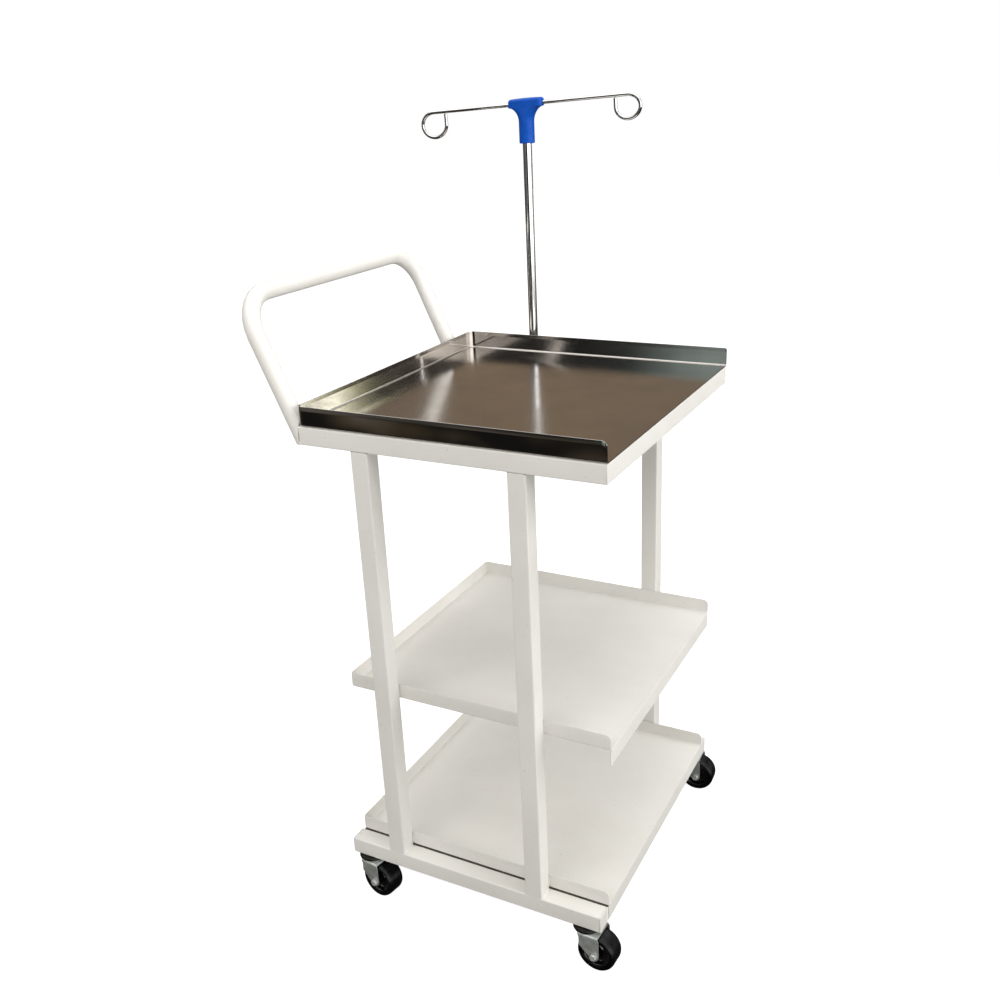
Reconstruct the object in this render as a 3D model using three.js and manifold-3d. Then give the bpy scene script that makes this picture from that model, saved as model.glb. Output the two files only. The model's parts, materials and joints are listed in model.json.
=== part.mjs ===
// Instrument cart for a veterinary clinic: a powder-painted steel tube frame on four swivel
// casters, with a stainless steel tray on top, two sheet-metal shelves, a push handle and a
// height-adjustable infusion pole.
//
// Millimetres, +Z up. +X points away from the handle, towards the open edge of the tray.
// The two column faces that meet the near base rail look along -Y. Local zero is the lower near
// corner of the top frame's outline, at floor level; the last lines move it to the middle of the
// bounding box's base.
import * as THREE from 'three';
import { mergeVertices } from 'three/addons/utils/BufferGeometryUtils.js';
import Module from 'manifold-3d';

const wasm = await Module();
wasm.setup();

// ---------------------------------------------------------------- driving dimensions
const CLEARANCE = 0.3; // between pieces that touch in the real cart
const TUBE = 30; // square steel tube, outside
const TUBE_WALL = 1.5;
const TUBE_CORNER = 3; // outside corner radius
const SHEET = 1.2; // tray and shelf sheet thickness

const TOP_LENGTH = 500; // top frame and tray along X
const CART_WIDTH = 540; // top frame and base along Y

const RAIL_START = 16; // base rails along X
const RAIL_END = 482;
const RAIL_BOTTOM = 75;
const RAIL_TOP = RAIL_BOTTOM + TUBE;
const END_CAP = 2;

const COLUMN_X = [92, 351]; // left side of each pair of columns
const FAR_RIGHT_OFFSET = 7; // the far right column stands this much further out than the near one
const FRAME_BOTTOM = 826.3;
const FRAME_TOP = FRAME_BOTTOM + TUBE;
const TRAY_WALL = 31; // tray wall above the frame

const SHELF_LENGTH = 464;
const SHELF_FLANGE = 26; // up-turned edges
const SHELF_DROP = 27; // down-turned edge at +X
const LOWER_SHELF = { x: 19.5, z: RAIL_TOP + CLEARANCE };
const MIDDLE_SHELF = { x: 25, z: 396 };

const HANDLE_RADIUS = 14;
const HANDLE_WALL = 1.5;
const HANDLE_Y = [14, 489]; // centre lines of the two legs
const HANDLE_FOOT = { x: -4, z: 841.5 }; // a point on each leg's centre line
const HANDLE_TOP = 1042; // centre line of the bar held in the hands
const HANDLE_RUN = 88.875; // from the foot outwards to that bar
const HANDLE_LEAN = HANDLE_RUN / (HANDLE_TOP - HANDLE_FOOT.z);
const HANDLE_BEND = 62;

const POLE = { x: 124, y: 563, radius: 8, wall: 1.5, bottom: 740, top: 1268 };
const SOCKET = { radius: 11, bore: 8.3, bottom: 640, top: 866, floor: 4, drain: 3 };
const LOWER_BRACKET_Z = [660, 686];
const BRACKET_HALF = 9; // half the width of the socket's brackets
const KNOB = { lobes: 6, radius: 16, lobe: 2, thickness: 12, boss: 8 };
const KNOB_HEIGHT = 846;
const HUB = { z: 1289, tilt: -2.6, width: 64, height: 18, depth: 23, edge: 5, neckRadius: 13.6, neck: 65 };
const HUB_FILLET = 22; // how far the web under the hub's bar runs down the neck
const ROD_RADIUS = 3;
const HOOK_REACH = 188; // hub centre to loop centre
const HOOK_LEFT = { halfWidth: 25, halfHeight: 21.5 }; // bent by hand, so the two loops differ
const HOOK_RIGHT = { halfWidth: 22, halfHeight: 19 };

const CASTER_X = [43, 452]; // swivel axes
const CASTER_Y = [TUBE / 2, CART_WIDTH - TUBE / 2];
const CASTER_YAW = { near_left: -10, near_right: -3.5, far_left: -14, far_right: 3 };
const WHEEL = { radius: 32.5, halfWidth: 17, trail: 22, rim: 25, bore: 3.4, hub: 8.5, hubHalf: 19.3 };
const WHEEL_DROP = RAIL_BOTTOM - WHEEL.radius; // axle below the underside of the rail
const FORK = { inside: 19.8, sheet: 2.4, top: -5.6, disc: 20.5, tip: 8, bend: 4 };
const STEM_RADIUS = 5;
const BOLT_RADIUS = 3;

// ---------------------------------------------------------------- materials
const paint = () => new THREE.MeshStandardMaterial({ color: 0xece8de, roughness: 0.42, metalness: 0.0 });
const stainless = () => new THREE.MeshStandardMaterial({ color: 0xb9b6b0, roughness: 0.18, metalness: 1.0 });
const chrome = () => new THREE.MeshStandardMaterial({ color: 0xd4d6d8, roughness: 0.08, metalness: 1.0 });
const zinc = () => new THREE.MeshStandardMaterial({ color: 0x9a9d9f, roughness: 0.38, metalness: 0.9 });
const rubber = () => new THREE.MeshStandardMaterial({ color: 0x17181a, roughness: 0.45, metalness: 0.0 });
const blackPlastic = () => new THREE.MeshStandardMaterial({ color: 0x1b1c1e, roughness: 0.35, metalness: 0.0 });
const bluePlastic = () => new THREE.MeshStandardMaterial({ color: 0x1257d6, roughness: 0.35, metalness: 0.0 });

// ---------------------------------------------------------------- solids and booleans
function toSolid(geometry) {
  const bare = geometry.clone();
  bare.deleteAttribute('normal');
  bare.deleteAttribute('uv');
  const merged = mergeVertices(bare, 1e-4);
  const mesh = new wasm.Mesh({
    numProp: 3,
    vertProperties: new Float32Array(merged.attributes.position.array),
    triVerts: new Uint32Array(merged.index.array),
  });
  return new wasm.Manifold(mesh);
}

function toGeometry(solid) {
  const mesh = solid.getMesh();
  const geometry = new THREE.BufferGeometry();
  geometry.setAttribute('position', new THREE.BufferAttribute(mesh.vertProperties, 3));
  geometry.setIndex(new THREE.BufferAttribute(mesh.triVerts, 1));
  const flat = geometry.toNonIndexed();
  flat.computeVertexNormals();
  return flat;
}

const join = (...parts) => toGeometry(parts.map(toSolid).reduce((sum, part) => sum.add(part)));
const cut = (body, ...tools) => toGeometry(tools.map(toSolid).reduce((rest, tool) => rest.subtract(tool), toSolid(body)));
const common = (...parts) => toGeometry(parts.map(toSolid).reduce((rest, part) => rest.intersect(part)));

// ---------------------------------------------------------------- basic shapes
function block(x0, x1, y0, y1, z0, z1) {
  const geometry = new THREE.BoxGeometry(x1 - x0, y1 - y0, z1 - z0);
  return geometry.translate((x0 + x1) / 2, (y0 + y1) / 2, (z0 + z1) / 2);
}

function roundedRectangle(x0, x1, y0, y1, radius, path = new THREE.Shape()) {
  path.absarc(x1 - radius, y0 + radius, radius, -Math.PI / 2, 0);
  path.absarc(x1 - radius, y1 - radius, radius, 0, Math.PI / 2);
  path.absarc(x0 + radius, y1 - radius, radius, Math.PI / 2, Math.PI);
  path.absarc(x0 + radius, y0 + radius, radius, Math.PI, 1.5 * Math.PI);
  return path;
}

function prism(shape, height, curveSegments = 2) {
  return new THREE.ExtrudeGeometry(shape, { depth: height, bevelEnabled: false, curveSegments });
}

function rod(radius, length, segments = 20) {
  // runs along +Z from the local zero
  return new THREE.CylinderGeometry(radius, radius, length, segments).rotateX(Math.PI / 2).translate(0, 0, length / 2);
}

function turned(points, segments) {
  // a lathed body about Z; points are [radius, height] and end on the axis or close on themselves
  const outline = points.map(([radius, height]) => new THREE.Vector2(radius, height));
  if (THREE.ShapeUtils.area(outline) < 0) {
    outline.reverse(); // anticlockwise outlines give outward faces
  }
  return new THREE.LatheGeometry(outline, segments).rotateX(Math.PI / 2);
}

function squareTube(length) {
  // hollow square section along +Z, centred on the local zero
  const half = TUBE / 2;
  const inner = half - TUBE_WALL;
  const shape = roundedRectangle(-half, half, -half, half, TUBE_CORNER);
  shape.holes.push(roundedRectangle(-inner, inner, -inner, inner, TUBE_CORNER - TUBE_WALL, new THREE.Path()));
  return prism(shape, length, 1);
}

function tubeAlongX(x0, x1, y, z) {
  return squareTube(x1 - x0).rotateY(Math.PI / 2).translate(x0, y, z);
}

function tubeAlongY(x, y0, y1, z) {
  return squareTube(y1 - y0).rotateX(-Math.PI / 2).translate(x, y0, z);
}

class StationPath extends THREE.Curve {
  // a path made of chosen stations, each with its own tangent, so that straight runs stay light
  constructor(stations) {
    super();
    this.stations = stations;
  }

  station(u) {
    return this.stations[Math.round(u * (this.stations.length - 1))];
  }

  getPoint(u) {
    return this.station(u).point.clone();
  }

  getPointAt(u) {
    return this.getPoint(u);
  }

  getTangentAt(u) {
    return this.station(u).tangent.clone().normalize();
  }
}

function arcStations(centre, radius, fromAngle, toAngle, steps, toSpace) {
  // stations along an arc drawn in a plane; toSpace turns plane coordinates into a 3-D vector
  const turn = Math.sign(toAngle - fromAngle);
  const zero = toSpace(0, 0);
  return Array.from({ length: steps + 1 }, (_, i) => {
    const angle = fromAngle + ((toAngle - fromAngle) * i) / steps;
    return {
      point: toSpace(centre[0] + radius * Math.cos(angle), centre[1] + radius * Math.sin(angle)),
      tangent: toSpace(-turn * Math.sin(angle), turn * Math.cos(angle)).sub(zero),
    };
  });
}

function sweep(stations, radius, wall, segments) {
  const section = new THREE.Shape().absarc(0, 0, radius, 0, 2 * Math.PI);
  if (wall > 0) {
    section.holes.push(new THREE.Path().absarc(0, 0, radius - wall, 0, 2 * Math.PI));
  }
  return new THREE.ExtrudeGeometry(section, {
    steps: stations.length - 1,
    curveSegments: segments,
    extrudePath: new StationPath(stations),
  });
}

// ---------------------------------------------------------------- scene graph
const cart = new THREE.Group();

function addPiece(name, geometry, material, parent = cart) {
  const mesh = new THREE.Mesh(geometry, material);
  mesh.name = name;
  parent.add(mesh);
  return mesh;
}

// ---------------------------------------------------------------- top frame
function mitrePlan(points) {
  const shape = new THREE.Shape(points.map(([x, y]) => new THREE.Vector2(x, y)));
  return prism(shape, TUBE + 2).translate(0, 0, FRAME_BOTTOM - 1);
}

function addTopFrame() {
  const middle = FRAME_BOTTOM + TUBE / 2;
  const half = TUBE / 2;
  const outline = roundedRectangle(0, TOP_LENGTH, 0, CART_WIDTH, TUBE_CORNER);
  const outlinePrism = prism(outline, TUBE + 2, 1).translate(0, 0, FRAME_BOTTOM - 1);
  const gap = CLEARANCE * 0.8; // along the tube, at each side of a mitre
  const [length, width] = [TOP_LENGTH, CART_WIDTH];
  const members = {
    top_frame_near: [
      tubeAlongX(0, length, half, middle),
      [[gap, 0], [length - gap, 0], [length - TUBE - gap, TUBE], [TUBE + gap, TUBE]],
    ],
    top_frame_far: [
      tubeAlongX(0, length, width - half, middle),
      [[TUBE + gap, width - TUBE], [length - TUBE - gap, width - TUBE], [length - gap, width], [gap, width]],
    ],
    top_frame_left: [
      tubeAlongY(half, 0, width, middle),
      [[0, gap], [TUBE, TUBE + gap], [TUBE, width - TUBE - gap], [0, width - gap]],
    ],
    top_frame_right: [
      tubeAlongY(length - half, 0, width, middle),
      [[length, gap], [length, width - gap], [length - TUBE, width - TUBE - gap], [length - TUBE, TUBE + gap]],
    ],
  };
  for (const [name, [tube, plan]] of Object.entries(members)) {
    addPiece(name, common(tube, mitrePlan(plan), outlinePrism), paint());
  }
}

// ---------------------------------------------------------------- columns and base
function addColumns() {
  const names = [['column_near_left', 'column_near_right'], ['column_far_left', 'column_far_right']];
  const from = RAIL_TOP + CLEARANCE;
  const height = FRAME_BOTTOM - CLEARANCE - from;
  CASTER_Y.forEach((y, row) => {
    COLUMN_X.forEach((x, side) => {
      const offset = row === 1 && side === 1 ? FAR_RIGHT_OFFSET : 0;
      addPiece(names[row][side], squareTube(height).translate(x + offset + TUBE / 2, y, from), paint());
    });
  });
}

function railEndCap(x) {
  const shape = roundedRectangle(-TUBE / 2, TUBE / 2, -TUBE / 2, TUBE / 2, TUBE_CORNER);
  return prism(shape, END_CAP, 1).rotateY(Math.PI / 2).translate(x, 0, 0);
}

function addBase() {
  const middle = RAIL_BOTTOM + TUBE / 2;
  const from = RAIL_START + END_CAP + CLEARANCE;
  const to = RAIL_END - END_CAP - CLEARANCE;
  ['near', 'far'].forEach((side, row) => {
    const y = CASTER_Y[row];
    const holes = CASTER_X.map((x) => rod(STEM_RADIUS + 0.4, 6, 16).translate(x, y, RAIL_BOTTOM - 3));
    addPiece(`base_rail_${side}`, cut(tubeAlongX(from, to, y, middle), ...holes), paint());
    addPiece(`rail_cap_${side}_left`, railEndCap(RAIL_START).translate(0, y, middle), paint());
    addPiece(`rail_cap_${side}_right`, railEndCap(RAIL_END - END_CAP).translate(0, y, middle), paint());
  });
  COLUMN_X.forEach((x, side) => {
    const name = side === 0 ? 'base_cross_left' : 'base_cross_right';
    const tube = tubeAlongY(x + TUBE / 2, TUBE + CLEARANCE, CART_WIDTH - TUBE - CLEARANCE, middle);
    addPiece(name, tube, paint());
  });
}

// ---------------------------------------------------------------- sheet-metal pans
function wallEndTrim(x, radius, top, y0, y1) {
  // removes the top corner of a wall's free end, leaving a quarter round
  const shape = new THREE.Shape();
  shape.moveTo(x - radius, top + 1);
  shape.lineTo(x - radius, top);
  shape.absarc(x - radius, top - radius, radius, Math.PI / 2, 0, true);
  shape.lineTo(x + 1, top - radius);
  shape.lineTo(x + 1, top + 1);
  return prism(shape, y1 - y0, 5).rotateX(Math.PI / 2).translate(0, y1, 0);
}

function pan({ x0, x1, y0, y1, bottom, wall, corner, nearEnd, farEnd, drop }) {
  // a folded pan: walls at -X, -Y and +Y, open towards +X, where the floor may turn down
  const top = bottom + wall;
  const open = x1 + 10;
  const outside = prism(roundedRectangle(x0, open, y0, y1, corner), wall, 4).translate(0, 0, bottom);
  const hollow = roundedRectangle(x0 + SHEET, open + 5, y0 + SHEET, y1 - SHEET, corner - SHEET);
  const space = prism(hollow, wall, 4).translate(0, 0, bottom + SHEET);
  const tools = [
    space,
    block(x1, open + 6, y0 - 1, y1 + 1, bottom - 1, top + 1),
    wallEndTrim(x1, nearEnd, top, y0 - 1, y0 + SHEET + 1),
    wallEndTrim(x1, farEnd, top, y1 - SHEET - 1, y1 + 1),
  ];
  const folded = cut(outside, ...tools);
  if (drop === 0) {
    return folded;
  }
  return join(folded, block(x1 - SHEET, x1, y0, y1, bottom - drop, bottom + SHEET));
}

function addPans() {
  const tray = pan({
    x0: 0, x1: TOP_LENGTH, y0: 0, y1: CART_WIDTH, bottom: FRAME_TOP + CLEARANCE,
    wall: TRAY_WALL, corner: 6, nearEnd: 9, farEnd: 3, drop: 0,
  });
  addPiece('stainless_tray', tray, stainless());
  for (const [name, place] of [['middle_shelf', MIDDLE_SHELF], ['lower_shelf', LOWER_SHELF]]) {
    const shelf = pan({
      x0: place.x, x1: place.x + SHELF_LENGTH, y0: TUBE + CLEARANCE, y1: CART_WIDTH - TUBE - CLEARANCE,
      bottom: place.z, wall: SHELF_FLANGE, corner: 3, nearEnd: 8, farEnd: 8, drop: SHELF_DROP,
    });
    addPiece(name, shelf, paint());
  }
}

// ---------------------------------------------------------------- push handle
function addHandle() {
  const slope = Math.hypot(1, HANDLE_LEAN);
  const rise = (HANDLE_TOP - HANDLE_FOOT.z) * slope; // length of a leg's centre line to the corner
  // plane of the handle: first coordinate across the cart, second up the leaning legs
  const toSpace = (across, up) => new THREE.Vector3(
    HANDLE_FOOT.x - (up * HANDLE_LEAN) / slope,
    across,
    HANDLE_FOOT.z + up / slope,
  );
  const [near, far] = HANDLE_Y;
  const upwards = toSpace(0, 1).sub(toSpace(0, 0));
  const start = -60;
  const stations = [
    { point: toSpace(near, start), tangent: upwards },
    ...arcStations([near + HANDLE_BEND, rise - HANDLE_BEND], HANDLE_BEND, Math.PI, Math.PI / 2, 7, toSpace),
    ...arcStations([far - HANDLE_BEND, rise - HANDLE_BEND], HANDLE_BEND, Math.PI / 2, 0, 7, toSpace),
    { point: toSpace(far, start), tangent: upwards.clone().negate() },
  ];
  const bar = sweep(stations, HANDLE_RADIUS, HANDLE_WALL, 9);
  const behindFrame = block(-CLEARANCE, 80, -50, CART_WIDTH + 50, 700, 1000);
  const belowFrame = block(-200, 80, -50, CART_WIDTH + 50, 700, FRAME_BOTTOM);
  addPiece('push_handle', cut(bar, behindFrame, belowFrame), paint());
}

// ---------------------------------------------------------------- infusion pole
function socketBracket(x0, x1, z0, z1) {
  // a spacer from the frame's far side to the socket, hollowed to fit the socket
  const body = block(x0, x1, CART_WIDTH + CLEARANCE, POLE.y, z0, z1);
  const saddle = rod(SOCKET.radius + CLEARANCE, z1 - z0 + 4, 32).translate(POLE.x, POLE.y, z0 - 2);
  return cut(body, saddle);
}

function addPoleSocket() {
  const { radius, bore, bottom, top, floor, drain } = SOCKET;
  const cup = turned([
    [drain, bottom], [radius, bottom], [radius, top], [bore, top], [bore, bottom + floor], [drain, bottom + floor],
    [drain, bottom],
  ], 28).translate(POLE.x, POLE.y, 0);
  const boss = rod(KNOB.boss, 9, 20).rotateX(-Math.PI / 2).translate(POLE.x, POLE.y + radius - 2, KNOB_HEIGHT);
  const screwHole = rod(BOLT_RADIUS + 0.3, 30, 16).rotateX(-Math.PI / 2).translate(POLE.x, POLE.y, KNOB_HEIGHT);
  const boreSpace = rod(bore, 60, 28).translate(POLE.x, POLE.y, KNOB_HEIGHT - 30);
  addPiece('pole_socket', cut(join(cup, boss), boreSpace, screwHole), paint());
  const [left, right] = [POLE.x - BRACKET_HALF, POLE.x + BRACKET_HALF];
  addPiece('socket_bracket_upper', socketBracket(left, right, FRAME_BOTTOM + 2, FRAME_TOP - 2), paint());
  addPiece('socket_bracket_lower', socketBracket(COLUMN_X[0] + 4, right, ...LOWER_BRACKET_Z), paint());
}

function addClampKnob() {
  const stub = POLE.radius + CLEARANCE;
  const head = SOCKET.radius + 7.5; // from the pole's axis to the knob
  const shape = new THREE.Shape();
  const steps = 48;
  for (let i = 0; i < steps; i += 1) {
    const angle = (2 * Math.PI * i) / steps;
    const radius = KNOB.radius + KNOB.lobe * Math.cos(KNOB.lobes * angle);
    const method = i === 0 ? 'moveTo' : 'lineTo';
    shape[method](radius * Math.cos(angle), radius * Math.sin(angle));
  }
  const grip = prism(shape, KNOB.thickness).translate(0, 0, head);
  const screw = rod(BOLT_RADIUS, head + 2 - stub, 16).translate(0, 0, stub);
  const knob = join(grip, screw).rotateX(-Math.PI / 2).translate(POLE.x, POLE.y, KNOB_HEIGHT);
  addPiece('clamp_knob', knob, blackPlastic());
}

function addPole() {
  const { radius, wall, bottom, top } = POLE;
  const shape = new THREE.Shape().absarc(0, 0, radius, 0, 2 * Math.PI);
  shape.holes.push(new THREE.Path().absarc(0, 0, radius - wall, 0, 2 * Math.PI));
  const pole = prism(shape, top - bottom, 12).translate(POLE.x, POLE.y, bottom);
  addPiece('infusion_pole', pole, chrome());
  // plastic foot pushed into the tube's lower end
  const plug = rod(radius - wall - CLEARANCE, 12, 20).translate(0, 0, -1);
  const flange = rod(radius - 0.1, 3, 24).translate(0, 0, -3 - CLEARANCE);
  addPiece('pole_foot', join(plug, flange).translate(POLE.x, POLE.y, bottom), blackPlastic());
}

function hubHead() {
  // the bar round the hook rod, with a web under it that runs down the neck
  const { width, height, depth, edge, neckRadius } = HUB;
  const half = width / 2;
  const under = -height / 2;
  const shoulder = 4;
  const shape = new THREE.Shape();
  shape.moveTo(-half, under + shoulder);
  shape.lineTo(-half, height / 2 - shoulder);
  shape.quadraticCurveTo(-half, height / 2, -half + 12, height / 2);
  shape.lineTo(half - 8, height / 2);
  shape.quadraticCurveTo(half, height / 2, half, height / 2 - shoulder);
  shape.lineTo(half, under + shoulder);
  shape.quadraticCurveTo(neckRadius + 2, under, neckRadius - 1, under - HUB_FILLET);
  shape.lineTo(1 - neckRadius, under - HUB_FILLET);
  shape.quadraticCurveTo(-neckRadius - 2, under, -half, under + shoulder);
  const webDepth = depth - 7;
  const web = prism(shape, webDepth, 6).rotateX(Math.PI / 2).translate(0, webDepth / 2, 0);
  const section = roundedRectangle(-height / 2, height / 2, -depth / 2, depth / 2, edge);
  const bar = prism(section, width - 2, 4).rotateY(Math.PI / 2).translate(1 - half, 0, 0);
  return join(web, bar);
}

function hookLoop({ halfWidth, halfHeight }) {
  // from the straight part over the outer end, round and back up until it touches the straight part
  const stations = [];
  const steps = 21;
  for (let i = 0; i <= steps; i += 1) {
    const angle = Math.PI / 2 - (1.5 * Math.PI * i) / steps;
    stations.push({
      point: new THREE.Vector3(HOOK_REACH + halfWidth * Math.cos(angle), 0, halfHeight * (Math.sin(angle) - 1)),
      tangent: new THREE.Vector3(halfWidth * Math.sin(angle), 0, -halfHeight * Math.cos(angle)).normalize(),
    });
  }
  const end = new THREE.Vector3(HOOK_REACH - halfWidth, 0, -ROD_RADIUS - 2 * CLEARANCE);
  return [...stations, { point: end, tangent: new THREE.Vector3(0, 0, 1) }];
}

function hookRod() {
  const left = hookLoop(HOOK_LEFT).map(({ point, tangent }) => ({
    point: new THREE.Vector3(-point.x, 0, point.z),
    tangent: new THREE.Vector3(tangent.x, 0, -tangent.z),
  }));
  return sweep([...left.reverse(), ...hookLoop(HOOK_RIGHT)], ROD_RADIUS, 0, 5);
}

function addHubAndHooks() {
  const tilt = THREE.MathUtils.degToRad(HUB.tilt);
  const place = (geometry) => geometry.rotateY(tilt).translate(POLE.x, POLE.y, HUB.z);
  const neck = rod(HUB.neckRadius, HUB.neck, 24).translate(POLE.x, POLE.y, HUB.z - HUB.neck);
  const bore = rod(POLE.radius + CLEARANCE, 120, 24).translate(POLE.x, POLE.y, POLE.top + CLEARANCE - 120);
  const rodHole = rod(ROD_RADIUS + CLEARANCE, 100, 16).rotateY(Math.PI / 2).translate(-50, 0, 0);
  addPiece('pole_hub', cut(join(place(hubHead()), neck), place(rodHole), bore), bluePlastic());
  addPiece('hook_rod', place(hookRod()), chrome());
}

// ---------------------------------------------------------------- casters
function casterRace() {
  // threaded stem, ball cup and riveted king pin: all stay with the rail
  const pinEnd = FORK.top - FORK.sheet - 0.4;
  return turned([
    [0, 22], [STEM_RADIUS, 22], [STEM_RADIUS, -CLEARANCE], [21.2, -CLEARANCE], [22, -1.2], [22, -5.2],
    [20.4, -5.2], [20.4, -2.6], [STEM_RADIUS, -2.6], [STEM_RADIUS, pinEnd], [7.5, pinEnd], [7.5, pinEnd - 2],
    [0, pinEnd - 2],
  ], 16);
}

function hexagon(acrossFlats, thickness, boreRadius) {
  const shape = new THREE.Shape();
  const radius = acrossFlats / Math.sqrt(3);
  for (let i = 0; i < 6; i += 1) {
    const angle = (i * Math.PI) / 3;
    const method = i === 0 ? 'moveTo' : 'lineTo';
    shape[method](radius * Math.cos(angle), radius * Math.sin(angle));
  }
  if (boreRadius > 0) {
    shape.holes.push(new THREE.Path().absarc(0, 0, boreRadius, 0, 2 * Math.PI));
  }
  return prism(shape, thickness, 8);
}

function casterFork() {
  const outside = FORK.inside + FORK.sheet;
  const low = -WHEEL_DROP - FORK.tip - 2;
  // the pressed U, seen along the direction of travel
  const channel = new THREE.Shape();
  channel.moveTo(-outside, low);
  channel.lineTo(-outside, FORK.top - FORK.bend);
  channel.absarc(-outside + FORK.bend, FORK.top - FORK.bend, FORK.bend, Math.PI, Math.PI / 2, true);
  channel.absarc(outside - FORK.bend, FORK.top - FORK.bend, FORK.bend, Math.PI / 2, 0, true);
  channel.lineTo(outside, low);
  channel.lineTo(FORK.inside, low);
  channel.lineTo(FORK.inside, FORK.top - FORK.sheet);
  channel.lineTo(-FORK.inside, FORK.top - FORK.sheet);
  channel.lineTo(-FORK.inside, low);
  const pressed = prism(channel, 60, 2).rotateX(Math.PI / 2).rotateZ(Math.PI / 2).translate(-22, 0, 0);
  // the side outline: wide under the crown, narrowing to a round eye at the axle
  const eye = -WHEEL_DROP;
  const front = -4; // the legs' front and rear edges, from the swivel axis
  const rear = WHEEL.trail + FORK.tip;
  const tangent = THREE.MathUtils.degToRad(-140);
  const side = new THREE.Shape();
  side.moveTo(front - 4, FORK.top + 1);
  side.lineTo(rear - 3, FORK.top + 1);
  side.lineTo(rear, -13);
  side.absarc(WHEEL.trail, eye, FORK.tip, 0, tangent, true);
  side.lineTo(front, eye + 15);
  side.lineTo(front, -13);
  const sideCut = prism(side, 80, 4).rotateX(Math.PI / 2).translate(0, 40, 0);
  const disc = rod(FORK.disc, FORK.sheet, 24).translate(0, 0, FORK.top - FORK.sheet);
  const ballTrack = rod(19.6, 3, 24).translate(0, 0, FORK.top - 0.5);
  const pinHole = rod(STEM_RADIUS + 0.4, 10, 16).translate(0, 0, -12);
  const axleHole = rod(BOLT_RADIUS + CLEARANCE, 80, 16).rotateX(-Math.PI / 2).translate(WHEEL.trail, -40, eye);
  return cut(join(common(pressed, sideCut), disc, ballTrack), pinHole, axleHole);
}

function axleBolt() {
  // along Y, head towards -Y, before it is moved to the axle
  const outside = FORK.inside + FORK.sheet + CLEARANCE;
  const shank = rod(BOLT_RADIUS, 2 * outside + 9, 16).translate(0, 0, -outside - 1);
  const head = hexagon(10, 4, 0).translate(0, 0, -outside - 4);
  return join(shank, head).rotateX(-Math.PI / 2);
}

function axleNut() {
  return hexagon(10, 5, BOLT_RADIUS + CLEARANCE)
    .translate(0, 0, FORK.inside + FORK.sheet + CLEARANCE)
    .rotateX(-Math.PI / 2);
}

function wheelCore() {
  const { bore, hub, hubHalf, rim } = WHEEL;
  const edge = 13.2; // half width of the rim
  const web = 4.5; // half thickness of the disc between hub and rim
  const half = [[bore, hubHalf], [hub, hubHalf], [hub + 2, web], [rim - 5, web], [rim - 2.5, edge], [rim, edge]];
  const mirrored = half.map(([radius, y]) => [radius, -y]).reverse();
  return turned([...half, ...mirrored, half[0]], 24).rotateX(-Math.PI / 2);
}

function wheelTyre() {
  const { radius, halfWidth, rim } = WHEEL;
  const inner = rim + CLEARANCE;
  const shoulder = 4;
  const half = [[inner, halfWidth - 3.5], [radius - shoulder, halfWidth]];
  for (let i = 1; i <= 3; i += 1) {
    const angle = ((3 - i) * Math.PI) / 6;
    half.push([radius - shoulder + shoulder * Math.cos(angle), halfWidth - shoulder + shoulder * Math.sin(angle)]);
  }
  const mirrored = half.map(([r, y]) => [r, -y]).reverse();
  return turned([...half, ...mirrored, half[0]], 28).rotateX(-Math.PI / 2);
}

function addCaster(tag, x, y) {
  const mount = new THREE.Group();
  mount.position.set(x, y, RAIL_BOTTOM);
  cart.add(mount);
  addPiece(`${tag}_race`, casterRace(), zinc(), mount);
  const stemNut = hexagon(17, 8, STEM_RADIUS + CLEARANCE).translate(0, 0, TUBE_WALL + CLEARANCE);
  addPiece(`${tag}_stem_nut`, stemNut, zinc(), mount);

  const swivel = new THREE.Group();
  swivel.rotation.z = THREE.MathUtils.degToRad(CASTER_YAW[tag.replace('caster_', '')]);
  mount.add(swivel);
  addPiece(`${tag}_fork`, casterFork(), zinc(), swivel);

  const axle = new THREE.Group();
  axle.position.set(WHEEL.trail, 0, -WHEEL_DROP);
  swivel.add(axle);
  addPiece(`${tag}_axle_bolt`, axleBolt(), zinc(), axle);
  addPiece(`${tag}_axle_nut`, axleNut(), zinc(), axle);
  addPiece(`${tag}_wheel_core`, wheelCore(), blackPlastic(), axle);
  addPiece(`${tag}_tyre`, wheelTyre(), rubber(), axle);
}

function addCasters() {
  ['near', 'far'].forEach((row, i) => {
    ['left', 'right'].forEach((side, j) => addCaster(`caster_${row}_${side}`, CASTER_X[j], CASTER_Y[i]));
  });
}

// ---------------------------------------------------------------- assembly
addTopFrame();
addColumns();
addBase();
addPans();
addHandle();
addPoleSocket();
addClampKnob();
addPole();
addHubAndHooks();
addCasters();

const bounds = new THREE.Box3().setFromObject(cart, true);
const base = bounds.getCenter(new THREE.Vector3());
cart.position.set(-base.x, -base.y, -bounds.min.z);
const group = new THREE.Group();
group.add(cart);

export default group;
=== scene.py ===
"""Looks for the instrument cart: materials, folded sheets, wheels, welds, light and camera."""

import json
import math

import bmesh
import bpy
from mathutils import Matrix, Vector


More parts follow.
